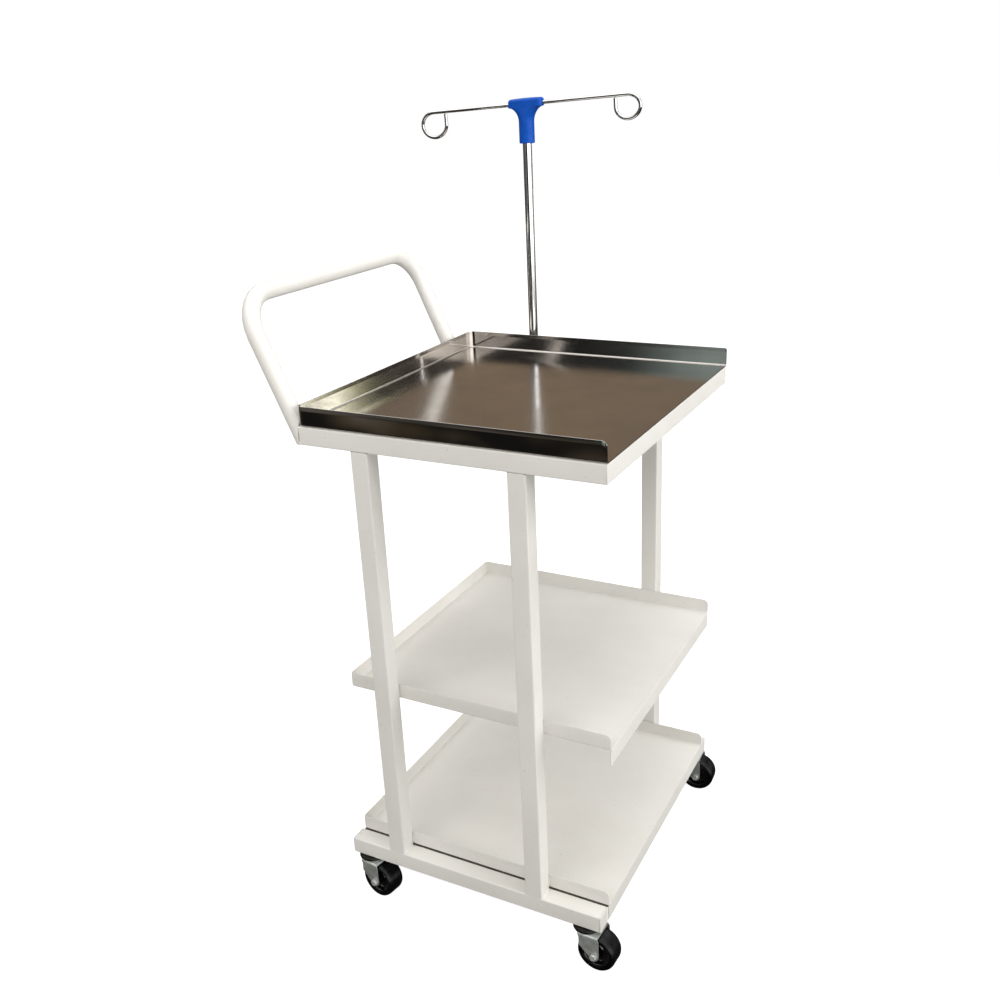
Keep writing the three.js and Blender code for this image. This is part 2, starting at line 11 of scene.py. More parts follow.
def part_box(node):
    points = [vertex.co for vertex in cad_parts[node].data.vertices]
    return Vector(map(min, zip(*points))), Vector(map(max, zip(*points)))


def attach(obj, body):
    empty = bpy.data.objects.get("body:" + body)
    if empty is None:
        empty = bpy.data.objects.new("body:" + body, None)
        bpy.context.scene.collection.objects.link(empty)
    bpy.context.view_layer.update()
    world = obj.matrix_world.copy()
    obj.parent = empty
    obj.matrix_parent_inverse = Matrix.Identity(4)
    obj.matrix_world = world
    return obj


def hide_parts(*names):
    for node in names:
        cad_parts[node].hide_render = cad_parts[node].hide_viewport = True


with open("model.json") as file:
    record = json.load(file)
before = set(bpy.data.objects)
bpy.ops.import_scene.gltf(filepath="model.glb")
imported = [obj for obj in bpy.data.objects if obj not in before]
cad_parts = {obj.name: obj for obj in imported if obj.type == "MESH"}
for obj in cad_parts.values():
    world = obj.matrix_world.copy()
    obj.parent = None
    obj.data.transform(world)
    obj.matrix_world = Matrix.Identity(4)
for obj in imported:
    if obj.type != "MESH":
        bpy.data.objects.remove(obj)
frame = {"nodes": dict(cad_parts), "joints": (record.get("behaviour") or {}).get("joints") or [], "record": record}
nodes = frame["nodes"]
joints = {joint["name"]: joint for joint in frame["joints"]}
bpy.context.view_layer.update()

MM = 0.001
CORNERS = ("near_left", "near_right", "far_left", "far_right")  # columns and casters

# ---------------------------------------------------------------- driving sizes, in metres
SHEET = 1.2 * MM
SHEET_BEND = 2.2 * MM  # inside radius of a folded edge
CURL = 7.0 * MM  # strip along a wall's top that leans inwards
CURL_LEAN = 0.09
TRAY_CORNER = 11.0 * MM
TRAY_NEAR_END = 9.0 * MM  # rounding of a wall's upper corner at its open end
TRAY_FAR_END = 3.0 * MM
SHELF_CORNER = 4.5 * MM
SHELF_END = 8.0 * MM
SHELF_DROP = 27.0 * MM  # how far a shelf's right edge hangs below its floor
LEDGE_WIDTH = 16.0 * MM
LEDGE_DEPTH = 2.0 * MM
ROD_RADIUS = 3.0 * MM
ROD_GAP = 0.6 * MM  # from the rod's end to its straight part
HOOK_REACH = 188.0 * MM
HOOK_LEFT = (25.0 * MM, 21.5 * MM)  # half width and half height of a loop
HOOK_RIGHT = (22.0 * MM, 19.0 * MM)
HUB_HEIGHT = 1.289
HUB_TILT = math.radians(-2.6)
HUB_HALF = (32.0 * MM, 11.5 * MM)  # half width and half depth of the hub's bar
HUB_NECK = 13.6 * MM  # radius
HUB_MOUTH = 8.3 * MM
HUB_BOTTOM = -65.0 * MM  # this and the next three are heights from the rod's centre
HUB_FLARE = -31.0 * MM
HUB_SHOULDER = -5.0 * MM
HUB_TOP = 9.0 * MM
HUB_EDGE = 1.2 * MM  # rounding at the neck's lower edge
HUB_FILLET = 5.0 * MM
HUB_CROWN = 0.8 * MM
WHEEL_RADIUS = 32.5 * MM
TREAD_HALF = 17.0 * MM
RIM_RADIUS = 25.0 * MM
WELD = 1.7 * MM  # radii of the weld beads
TACK = 1.3 * MM
SEAM = 0.7 * MM
EDGE = 0.35 * MM  # rounding of a plain tube or plate edge
JOIN = 0.002 * MM  # split vertices closer than this are one
EDGE_ANGLE = math.radians(40.0)
SHARP_ANGLE = math.radians(35.0)

# ---------------------------------------------------------------- colours, linear
CREAM = (0.83, 0.815, 0.782, 1)
CREAM_DULL = (0.77, 0.753, 0.712, 1)
GRIME = (0.30, 0.27, 0.22, 1)
STEEL = (0.63, 0.60, 0.57, 1)
STEEL_DARK = (0.50, 0.47, 0.44, 1)
CHROME = (0.80, 0.80, 0.80, 1)
ZINC = (0.40, 0.43, 0.41, 1)
ZINC_BRIGHT = (0.56, 0.58, 0.56, 1)
ZINC_DARK = (0.22, 0.225, 0.215, 1)
ZINC_NEW = (0.82, 0.83, 0.82, 1)
# painted shade: the near-black of the ball race in the shadow under the rail
RACE_SHADE_DEEP = (0.005, 0.0045, 0.004, 1)
RACE_SHADE_PALE = (0.016, 0.013, 0.010, 1)
# painted shade: the dark line in the joint under the lower shelf
GAP_SHADE_DEEP = (0.055, 0.048, 0.040, 1)
GAP_SHADE_PALE = (0.14, 0.125, 0.105, 1)
RUBBER = (0.0012, 0.0013, 0.0020, 1)
RUBBER_DUST = (0.0048, 0.0050, 0.0068, 1)
BLUE = (0.001, 0.085, 0.50, 1)
BLUE_DEEP = (0.001, 0.066, 0.40, 1)
FLOOR_GREY = (0.38, 0.378, 0.37, 1)
FLOOR_PALE = (0.42, 0.418, 0.41, 1)
WHITE = (1, 1, 1, 1)
WHITE_WARM = (1.0, 0.995, 0.985, 1)

# ---------------------------------------------------------------- camera
CAMERA_LENS = 37.93
CAMERA_TURN = (28.43, 21.16, -2.75)  # azimuth, downward tilt and roll, in degrees
CAMERA_PLACE = (0.7863, -1.4830, 1.3105)


# ---------------------------------------------------------------- material building
class Graph:
    """A node tree with short ways to add nodes that feed each other."""

    def __init__(self, tree):
        self.tree = tree

    def node(self, kind, inputs=None, **settings):
        made = self.tree.nodes.new(kind)
        for key, value in settings.items():
            setattr(made, key, value)
        for key, value in (inputs or {}).items():
            self.feed(made.inputs[key], value)
        return made

    def feed(self, socket, value):
        if isinstance(value, bpy.types.NodeSocket):
            self.tree.links.new(value, socket)
        else:
            socket.default_value = value

    def ramp(self, value, low, high, start=0.0, end=1.0):
        inputs = {"Value": value, "From Min": low, "From Max": high, "To Min": start, "To Max": end}
        return self.node("ShaderNodeMapRange", inputs).outputs["Result"]

    def stops(self, value, stops):
        """A colour ramp through (position, colour) stops."""
        made = self.node("ShaderNodeValToRGB", {"Fac": value})
        elements = made.color_ramp.elements
        elements[0].position, elements[0].color = stops[0][0], (*stops[0][1], 1)
        elements[1].position, elements[1].color = stops[-1][0], (*stops[-1][1], 1)
        for position, colour in stops[1:-1]:
            elements.new(position).color = (*colour, 1)
        return made.outputs["Color"]

    def mix(self, factor, first, second):
        """A colour between two colours: sockets 0, 6 and 7 take the factor and the colours."""
        mixer = self.node("ShaderNodeMix", {0: factor, 6: first, 7: second}, data_type="RGBA")
        return mixer.outputs[2]

    def blend(self, factor, first, second):
        """A number between two numbers: sockets 0, 2 and 3 take the factor and the numbers."""
        mixer = self.node("ShaderNodeMix", {0: factor, 2: first, 3: second}, data_type="FLOAT")
        return mixer.outputs[0]


class Shader(Graph):
    """A principled material and the textures that feed it, all in the object's own coordinates."""

    def __init__(self, name):
        self.material = bpy.data.materials.new(name)
        self.material.use_nodes = True
        super().__init__(self.material.node_tree)
        self.principled = self.tree.nodes["Principled BSDF"]
        self.place = self.tree.nodes.new("ShaderNodeTexCoord").outputs["Object"]

    def stretched(self, scale):
        mapping = self.node("ShaderNodeMapping", {"Vector": self.place, "Scale": scale})
        return mapping.outputs["Vector"]

    def noise(self, scale, detail=3.0, vector=None, roughness=0.5):
        inputs = {"Vector": vector or self.place, "Scale": scale, "Detail": detail, "Roughness": roughness}
        return self.node("ShaderNodeTexNoise", inputs).outputs["Fac"]

    def bump(self, height, distance, strength=1.0, normal=None):
        inputs = {"Height": height, "Distance": distance, "Strength": strength}
        if normal is not None:
            inputs["Normal"] = normal
        return self.node("ShaderNodeBump", inputs).outputs["Normal"]

    def set(self, **sockets):
        for key, value in sockets.items():
            self.feed(self.principled.inputs[key.replace("_", " ")], value)
        return self.material


def painted_steel():
    """Cream powder coat: orange-peel skin, slow colour drift, a few dark specks and dull patches."""
    shader = Shader("cream_paint")
    drift = shader.ramp(shader.noise(5.0, 4.0), 0.38, 0.68)
    specks = shader.ramp(shader.noise(420.0, 1.0), 0.77, 0.80)
    patches = shader.ramp(shader.noise(28.0, 6.0, roughness=0.65), 0.60, 0.80, 0.0, 0.55)
    base = shader.mix(drift, CREAM, CREAM_DULL)
    worn = shader.mix(patches, base, CREAM_DULL)
    colour = shader.mix(specks, worn, GRIME)
    peel = shader.noise(650.0, 2.0)
    settle = shader.noise(60.0, 2.0)
    skin = shader.bump(peel, 0.00012, 0.35, shader.bump(settle, 0.0004, 0.25))
    rough = shader.ramp(shader.noise(90.0, 4.0), 0.3, 0.7, 0.34, 0.46)
    return shader.set(Base_Color=colour, Roughness=rough, Normal=skin, Specular_IOR_Level=0.5)


def stainless_sheet():
    """Bright cold-rolled stainless: grain along X, a rubbed floor, near-mirror walls, handling marks."""
    shader = Shader("stainless")
    grain = shader.noise(1.0, 3.0, shader.stretched((40.0, 2600.0, 40.0)), 0.6)
    smears = shader.noise(9.0, 5.0, roughness=0.62)
    scratches = shader.ramp(shader.noise(1.0, 2.0, shader.stretched((30.0, 900.0, 30.0))), 0.70, 0.74)
    colour = shader.mix(shader.ramp(smears, 0.35, 0.7), STEEL, STEEL_DARK)
    rubbed = shader.ramp(smears, 0.3, 0.7, 0.11, 0.20)
    clean = shader.ramp(smears, 0.3, 0.7, 0.035, 0.09)
    height = shader.node("ShaderNodeSeparateXYZ", {"Vector": shader.place}).outputs["Z"]
    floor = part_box("stainless_tray")[0].z
    on_wall = shader.ramp(height, floor + SHEET, floor + SHEET + SHEET_BEND)
    rough = shader.blend(on_wall, rubbed, clean)
    wave = shader.noise(3.2, 1.0)
    skin = shader.bump(grain, 0.00003, shader.blend(on_wall, 0.32, 0.03), shader.bump(wave, 0.003, 0.3))
    marked = shader.bump(scratches, 0.00003, shader.blend(on_wall, 0.5, 0.1), skin)
    return shader.set(Base_Color=colour, Metallic=1.0, Roughness=rough, Normal=marked)


def chromed_steel():
    """Polished tube and rod with faint drawing lines and fingerprints."""
    shader = Shader("chrome")
    lines = shader.noise(1.0, 2.0, shader.stretched((1600.0, 1600.0, 12.0)))
    prints = shader.noise(45.0, 5.0)
    colour = shader.mix(shader.ramp(prints, 0.4, 0.8), CHROME, STEEL)
    rough = shader.ramp(prints, 0.35, 0.75, 0.07, 0.17)
    skin = shader.bump(lines, 0.00002, 0.4)
    return shader.set(Base_Color=colour, Metallic=1.0, Roughness=rough, Normal=skin)


def zinc_plate(name, plain, bright, stain):
    """Zinc-plated steel: mottled grey with darker stains."""
    shader = Shader(name)
    mottle = shader.ramp(shader.noise(120.0, 4.0), 0.35, 0.7)
    stains = shader.ramp(shader.noise(38.0, 3.0), 0.55, 0.75, 0.0, 0.7)
    colour = shader.mix(stains, shader.mix(mottle, plain, bright), stain)
    rough = shader.ramp(shader.noise(200.0, 3.0), 0.3, 0.7, 0.30, 0.46)
    skin = shader.bump(shader.noise(900.0, 2.0), 0.00005, 0.5)
    return shader.set(Base_Color=colour, Metallic=0.55, Roughness=rough, Normal=skin)


def shaded_race_material():
    """The ball race coloured near-black: painted shade for the shadow under the rail, mottled and bumped."""
    shader = Shader("race_painted_shade")
    shade_blotch = shader.ramp(shader.noise(140.0, 5.0, roughness=0.6), 0.35, 0.75)
    colour = shader.mix(shade_blotch, RACE_SHADE_DEEP, RACE_SHADE_PALE)
    rough = shader.ramp(shader.noise(260.0, 3.0), 0.3, 0.7, 0.22, 0.5)
    skin = shader.bump(shade_blotch, 0.0002, 0.5)
    return shader.set(Base_Color=colour, Metallic=0.4, Roughness=rough, Normal=skin)


def gap_painted_shade():
    """Painted shade for a narrow joint: dark brown-grey blotches that stand in for the shadow in the gap."""
    shader = Shader("gap_painted_shade")
    blotches = shader.noise(320.0, 4.0)
    colour = shader.mix(shader.ramp(blotches, 0.35, 0.75), GAP_SHADE_DEEP, GAP_SHADE_PALE)
    return shader.set(Base_Color=colour, Roughness=0.85, Normal=shader.bump(blotches, 0.0003, 0.7))


def tread_rubber():
    """Smooth hard rubber with floor dust and fine scuffs."""
    shader = Shader("tyre")
    dust = shader.ramp(shader.noise(70.0, 6.0, roughness=0.7), 0.48, 0.78, 0.0, 0.8)
    colour = shader.mix(dust, RUBBER, RUBBER_DUST)
    rough = shader.ramp(shader.noise(150.0, 4.0), 0.3, 0.7, 0.22, 0.42)
    skin = shader.bump(shader.noise(1400.0, 3.0), 0.00005, 0.5)
    return shader.set(Base_Color=colour, Roughness=rough, Normal=skin, Specular_IOR_Level=0.25)


def moulded_plastic(name, first, second, low, high, gloss):
    """Injection-moulded plastic: slight flow marks, a fine spark-eroded skin, rubbed patches."""
    shader = Shader(name)
    flow = shader.ramp(shader.noise(35.0, 4.0), 0.35, 0.7)
    rough = shader.ramp(shader.noise(80.0, 5.0), 0.3, 0.7, low, high)
    skin = shader.bump(shader.noise(1800.0, 2.0), 0.00003, 0.5)
    colour = shader.mix(flow, first, second)
    return shader.set(Base_Color=colour, Roughness=rough, Normal=skin, Specular_IOR_Level=gloss)


PAINT = painted_steel()
STAINLESS = stainless_sheet()
POLISHED = chromed_steel()
ZINC_PLATE = zinc_plate("zinc", ZINC, ZINC_BRIGHT, ZINC_DARK)
ZINC_SCREW = zinc_plate("new_zinc", ZINC_NEW, ZINC_BRIGHT, ZINC)
TREAD = tread_rubber()
SHADED_RACE = shaded_race_material()
GAP_SHADE = gap_painted_shade()
BLACK_PLASTIC = moulded_plastic("black_plastic", RUBBER, RUBBER_DUST, 0.12, 0.22, 1.0)
BLUE_PLASTIC = moulded_plastic("blue_plastic", BLUE, BLUE_DEEP, 0.30, 0.42, 0.25)
BY_SLOT = {
    "cream_paint": PAINT,
    "stainless": STAINLESS,
    "chrome": POLISHED,
    "zinc": ZINC_PLATE,
    "tyre": TREAD,
    "black_plastic": BLACK_PLASTIC,
    "blue_plastic": BLUE_PLASTIC,
}


# ---------------------------------------------------------------- finish on the carried-over nodes
def smooth(mesh):
    mesh.shade_smooth()
    mesh.set_sharp_from_angle(angle=SHARP_ANGLE)


def join_vertices(obj):
    """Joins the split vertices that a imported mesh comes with."""
    obj.modifiers.new("join", "WELD").merge_threshold = JOIN


def soften_edges(obj, width, segments=3):
    join_vertices(obj)
    bevel = obj.modifiers.new("round", "BEVEL")
    bevel.width = width
    bevel.segments = segments
    bevel.limit_method = "ANGLE"
    bevel.angle_limit = EDGE_ANGLE
    bevel.harden_normals = False
    obj.modifiers.new("normals", "WEIGHTED_NORMAL").keep_sharp = True


def mould(obj, voxel, passes):
    """Melts a jointed solid into one moulded skin with soft edges."""
    join_vertices(obj)
    remesh = obj.modifiers.new("skin", "REMESH")
    remesh.mode = "VOXEL"
    remesh.voxel_size = voxel
    remesh.use_smooth_shade = True
    relax = obj.modifiers.new("relax", "SMOOTH")
    relax.factor = 0.5
    relax.iterations = passes


def finish_cad_nodes():
    """Materials by slot and edges by kind of part, on every node imported from model.glb."""
    slots = {part["node"]: part["material_slot"] for part in frame["record"]["subparts"]}
    for name, obj in nodes.items():
        obj.data.materials.clear()
        obj.data.materials.append(BY_SLOT[slots[name]])
        obj.data.shade_smooth()
        if name == "clamp_knob":
            mould(obj, voxel=0.7 * MM, passes=16)
        elif name.endswith(("axle_bolt", "axle_nut")):
            obj.data.materials[0] = ZINC_SCREW
            soften_edges(obj, 0.45 * MM)
        elif name.endswith("fork"):
            soften_edges(obj, 0.6 * MM)
        elif name.startswith("rail_cap"):
            soften_edges(obj, 1.3 * MM, segments=5)
        else:
            soften_edges(obj, EDGE)


# ---------------------------------------------------------------- mesh helpers
def make_piece(name, bm, material, body, replaces=()):
    """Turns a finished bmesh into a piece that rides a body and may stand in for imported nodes."""
    bmesh.ops.recalc_face_normals(bm, faces=bm.faces)
    mesh = bpy.data.meshes.new(name)
    bm.to_mesh(mesh)
    bm.free()
    smooth(mesh)
    mesh.materials.append(material)
    obj = bpy.data.objects.new(name, mesh)
    bpy.context.scene.collection.objects.link(obj)
    obj.modifiers.new("normals", "WEIGHTED_NORMAL").keep_sharp = True
    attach(obj, body)
    if replaces:
        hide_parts(*replaces)
    return obj


def bridge(bm, rows, closed_rows=True, closed_columns=False):
    """Faces between neighbouring rows of vertices; a row may close on itself, and so may the whole."""
    count = len(rows[0])
    last_row = len(rows) if closed_columns else len(rows) - 1
    for i in range(last_row):
        first, second = rows[i], rows[(i + 1) % len(rows)]
        for j in range(count if closed_rows else count - 1):
            k = (j + 1) % count
            bm.faces.new((first[j], first[k], second[k], second[j]))


def arc(centre, radius, start, end, steps):
    """Points of an arc in a plane, angles in degrees."""
    angles = [math.radians(start + (end - start) * i / steps) for i in range(steps + 1)]
    return [(centre[0] + radius * math.cos(a), centre[1] + radius * math.sin(a)) for a in angles]


def lathe(profile, segments, place):
    """A body turned about local Z from a closed (radius, height) outline, then placed by a matrix."""
    bm = bmesh.new()
    rows = []
    for i in range(segments):
        angle = 2 * math.pi * i / segments
        cos, sin = math.cos(angle), math.sin(angle)
        rows.append([bm.verts.new(place @ Vector((r * cos, r * sin, h))) for r, h in profile])
    bridge(bm, rows, closed_rows=True, closed_columns=True)
    return bm


def frame_along(direction, origin):
    """A matrix that takes local Z to a direction and zero to an origin."""
    turn = direction.normalized().to_track_quat("Z", "Y").to_matrix().to_4x4()
    return Matrix.Translation(origin) @ turn


def sweep(path, radius_at, sides, up):
    """A round bar along a path, with its own radius at each station and flat ends."""
    bm = bmesh.new()
    rows = []
    last = len(path) - 1
    for i, point in enumerate(path):
        along = (path[min(i + 1, last)] - path[max(i - 1, 0)]).normalized()
        side = along.cross(up).normalized()
        over = side.cross(along).normalized()
        radius = radius_at(i)
        ring = []
        for j in range(sides):
            angle = 2 * math.pi * j / sides
            ring.append(bm.verts.new(point + radius * (math.cos(angle) * side + math.sin(angle) * over)))
        rows.append(ring)
    bridge(bm, rows)
    bm.faces.new(rows[0])
    bm.faces.new(reversed(rows[-1]))
    return bm


# ---------------------------------------------------------------- folded sheets
def wall_path(x0, x1, y0, y1, corner, near_end, far_end):
    """Stations round a pan's three walls: (point, inward direction, distance to the open end, rounding)."""
    clear = 1.0  # the corners are further from the open ends than any rounding reaches

    def end_fractions(radius):
        return [radius * (1 - math.cos(math.pi * i / 16)) for i in range(9)]

    def corner_stations(centre, start, end, rounding):
        made = []
        for px, py in arc(centre, corner, start, end, 8):
            point = Vector((px, py, 0))
            inward = (Vector((*centre, 0)) - point).normalized()
            made.append((point, inward, clear, rounding))
        return made

    near = [(Vector((x1 - offset, y0, 0)), Vector((0, 1, 0)), offset, near_end)
            for offset in end_fractions(near_end)]
    far = [(Vector((x1 - offset, y1, 0)), Vector((0, -1, 0)), offset, far_end)
           for offset in reversed(end_fractions(far_end))]
    first_turn = corner_stations((x0 + corner, y0 + corner), 270, 180, near_end)
    second_turn = corner_stations((x0 + corner, y1 - corner), 180, 90, far_end)
    return near + first_turn + second_turn + far


def wall_profile(height):
    """The folded section of a wall: (inward, up), from the floor's underside round to its top and back."""
    outer = SHEET + SHEET_BEND
    curl_start = height - CURL
    curl_middle = height - 0.85 * CURL
    curl_hinge = height - 0.8 * CURL  # above this the section leans inwards
    points = arc((outer, outer), outer, 270, 180, 6)
    points += [(0.0, curl_start), (0.02 * CURL_LEAN * CURL, curl_middle)]
    points += arc((SHEET / 2, height - SHEET / 2), SHEET / 2, 180, 0, 4)
    points += [(SHEET, curl_middle), (SHEET, curl_start)]
    points += arc((outer, outer), SHEET_BEND, 180, 270, 6)
    return [(inward + CURL_LEAN * max(0.0, up - curl_hinge), up) for inward, up in points]


def folded_pan(name, node, body, corner, near_end, far_end, drop, material):
    """A sheet with three walls folded up, open towards +X, where it folds down by the drop."""
    low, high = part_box(node)
    floor = low.z + drop
    height = high.z - floor
    bm = bmesh.new()
    rows = []
    for point, inward, offset, radius in wall_path(low.x, high.x, low.y, high.y, corner, near_end, far_end):
        cut = max(0.0, radius - offset)
        top = height - (radius - math.sqrt(max(0.0, radius * radius - cut * cut)))
        section = [point + inward * d + Vector((0, 0, floor + h)) for d, h in wall_profile(top)]
        rows.append([bm.verts.new(p) for p in section])
    bridge(bm, rows, closed_rows=False)
    for row in (rows[0], rows[-1]):
        bm.faces.new(row)
    under = [row[0] for row in rows]
    over = [row[-1] for row in rows]
    bm.faces.new(under)
    bm.faces.new(over)
    bm.faces.new((over[0], over[-1], under[-1], under[0]))
    if drop:
        add_drop(bm, low, high, floor, drop)
    return make_piece(name, bm, material, body, (node,))


def add_drop(bm, low, high, floor, drop):
    """The down-turned edge at +X: a bend, a relief notch at each end and the hanging lip."""
    outer = SHEET + SHEET_BEND
    notch = 0.98 * outer
    hair = 0.01 * MM
    centre = (high.x - outer, floor + SHEET - outer)
    outside = arc(centre, outer, 90, 0, 6) + [(high.x, floor - drop + SHEET / 2)]
    tip = arc((high.x - SHEET / 2, floor - drop + SHEET / 2), SHEET / 2, 0, -180, 4)[1:]
    inside = [(high.x - SHEET, centre[1])] + arc(centre, SHEET_BEND, 0, 90, 6)[1:]
    profile = outside + tip + inside
    rows = []
    for y, is_edge in ((low.y, True), (low.y + outer, False), (high.y - outer, False), (high.y, True)):
        row = []
        for x, z in profile:
            inset = y
            if is_edge and z > centre[1] + hair:
                inset = y + math.copysign(notch, (low.y + high.y) / 2 - y)
            row.append(bm.verts.new((x, inset, z)))
        rows.append(row)
    bridge(bm, rows, closed_rows=True)
    bm.faces.new(rows[0])
    bm.faces.new(reversed(rows[-1]))


def add_sheets():
    folded_pan("tray_sheet", "stainless_tray", "frame", TRAY_CORNER, TRAY_NEAR_END, TRAY_FAR_END, 0.0,
               STAINLESS)
    for name in ("middle_shelf", "lower_shelf"):
        folded_pan(f"{name}_sheet", name, "frame", SHELF_CORNER, SHELF_END, SHELF_END, SHELF_DROP,
                   PAINT)


# ---------------------------------------------------------------- casters
def tyre_profile():
    """Solid tread: a crowned face with wide round shoulders and a rolled bead against the rim."""
    rise, run = 4.2 * MM, 8.0 * MM  # the shoulder's radial and sideways sizes
    inner = RIM_RADIUS + 0.3 * MM
    wall = TREAD_HALF - 3.0 * MM
    roll = 1.0 * MM  # the bead's radius
    upper = [(inner, wall - 1.6 * roll)]
    upper += arc((inner + roll, wall - 0.8 * roll), roll, 180, 60, 4)
    upper += [(inner + 2.0 * roll, wall + 0.2 * roll)]
    for across, along in arc((0, 0), 1.0, 98, 0, 11):
        upper.append((WHEEL_RADIUS - rise + rise * across, TREAD_HALF - run + run * along))
    return upper + [(r, -h) for r, h in reversed(upper)]


def core_profile():
    """Dished wheel centre: hub, a deep web with one moulded ring, and the rim's lip; in millimetres first."""
    hub = [(3.4, 19.3), (7.7, 19.3), (8.5, 18.6), (8.8, 12.0), (9.3, 6.2), (10.4, 4.9)]
    web_ring = [(12.6, 4.5), (13.2, 5.3), (14.4, 5.3), (15.0, 4.5)]
    web = [(18.2, 4.6), (19.6, 5.4), (20.6, 7.4), (22.0, 12.6)]
    lip = [(22.7, 13.5), (23.6, 13.8), (24.6, 13.4), (RIM_RADIUS / MM, 12.6)]
    upper = [(r * MM, h * MM) for r, h in hub + web_ring + web + lip]
    return upper + [(r, -h) for r, h in reversed(upper)]


def race_profile(top):
    """Ball cup under the rail, with its rolled lip, around the king pin; in millimetres first."""
    pin = 5.0
    axis = 0.01  # the outline stays this far from the axis
    stem = [(axis, 21.6), (4.4, 21.6), (pin, 21.0), (pin, -0.3)]
    cup = [(19.6, -0.3), (21.2, -0.7), (22.0, -1.7), (22.0, -4.6)]
    lip = [(21.4, -5.2), (20.6, -5.0), (20.4, -4.4), (20.4, -2.6)]
    rivet = [(pin, -2.6), (pin, -8.4), (7.0, -8.4), (7.5, -8.9), (7.2, -9.8), (5.6, -10.4), (axis, -10.4)]
    return [(r * MM, top + h * MM) for r, h in stem + cup + lip + rivet]


def add_casters():
    """Treads and centres on the wheels' axles, and the ball cups on the swivel axes."""
    rail_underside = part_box("base_rail_near")[0].z
    for tag in CORNERS:
        roll = joints[f"{tag}_roll"]
        swivel = Vector(joints[f"{tag}_swivel"]["pos_m"])
        axle = frame_along(Vector(roll["axis"]), Vector(roll["pos_m"]))
        tread = lathe(tyre_profile(), 96, axle)
        make_piece(f"{tag}_tread", tread, TREAD, f"{tag}_wheel", (f"caster_{tag}_tyre",))
        centre = lathe(core_profile(), 96, axle)
        make_piece(f"{tag}_centre", centre, BLACK_PLASTIC, f"{tag}_wheel",
                   (f"caster_{tag}_wheel_core",))
        # the cup's near-black colour is painted shade under the rail
        cup = lathe(race_profile(rail_underside), 64, Matrix.Translation((swivel.x, swivel.y, 0)))
        make_piece(f"{tag}_ball_cup", cup, SHADED_RACE, "frame", (f"caster_{tag}_race",))


# ---------------------------------------------------------------- hook rod
def pole_head():
    """A matrix at the rod's centre on top of the pole, tilted as the rod sits."""
    pole = Vector(joints["pole_turn"]["pos_m"])
    return Matrix.Translation((pole.x, pole.y, HUB_HEIGHT)) @ Matrix.Rotation(HUB_TILT, 4, "Y")


def hook_loop(half_width, half_height):
    """One end of the rod: over the outer side, round, and back up to just under the straight part."""
    loop = [
        (HOOK_REACH + half_width * across, half_height * (up - 1))
        for across, up in arc((0, 0), 1.0, 90, -180, 72)
    ]
    inner = HOOK_REACH - half_width
    top = -ROD_RADIUS - ROD_GAP
    blunt = top - 0.8 * MM  # from here to its end the rod narrows
    rise = [(inner, -half_height + (blunt + half_height) * i / 3) for i in range(1, 4)]
    return loop + rise + [(inner, top)]


def hook_path():
    """Centre line of the rod: a closed loop at each end, joined by the straight part through the hub."""
    left = [(-x, z) for x, z in reversed(hook_loop(*HOOK_LEFT))]
    straight = [(-HOOK_REACH + 2 * HOOK_REACH * i / 12, 0.0) for i in range(1, 12)]
    place = pole_head()
    return [place @ Vector((x, 0, z)) for x, z in left + straight + hook_loop(*HOOK_RIGHT)]


def add_hook_rod():
    path = hook_path()
    last = len(path) - 1
    narrowed = {0: 0.72, 1: 0.98, last - 1: 0.98, last: 0.72}
    rod = sweep(path, lambda i: ROD_RADIUS * narrowed.get(i, 1.0), 20, Vector((0, 1, 0)))
    make_piece("hook_wire", rod, POLISHED, "pole", ("hook_rod",))


def hub_sections():
    """The hub's level sections from bottom to top: (height, half width, half depth, squareness)."""
    wide, deep = HUB_HALF
    sections = []
    for angle in (0.0, 0.5, 1.0, math.pi / 2):
        rounded = HUB_NECK - HUB_EDGE * (1 - math.sin(angle))
        sections.append((HUB_BOTTOM + HUB_EDGE * (1 - math.cos(angle)), rounded, rounded, 0.0))
    steps = 22
    for i in range(steps + 1):
        share = i / steps
        flare = wide - (wide - HUB_NECK) * math.sqrt(1 - share * share)
        depth = HUB_NECK + (deep - HUB_NECK) * share
        sections.append((HUB_FLARE + (HUB_SHOULDER - HUB_FLARE) * share, flare, depth, share ** 3))
    for i in range(9):
        angle = math.pi / 2 * i / 8
        inset = HUB_FILLET * (1 - math.cos(angle))
        sections.append((HUB_TOP - HUB_FILLET * (1 - math.sin(angle)), wide - inset, deep - inset, 1.0))
    for share in (0.75, 0.5, 0.25):
        lift = HUB_CROWN * (1 - share * share)
        sections.append((HUB_TOP + lift, (wide - HUB_FILLET) * share, (deep - HUB_FILLET) * share, 1.0))
    return sections


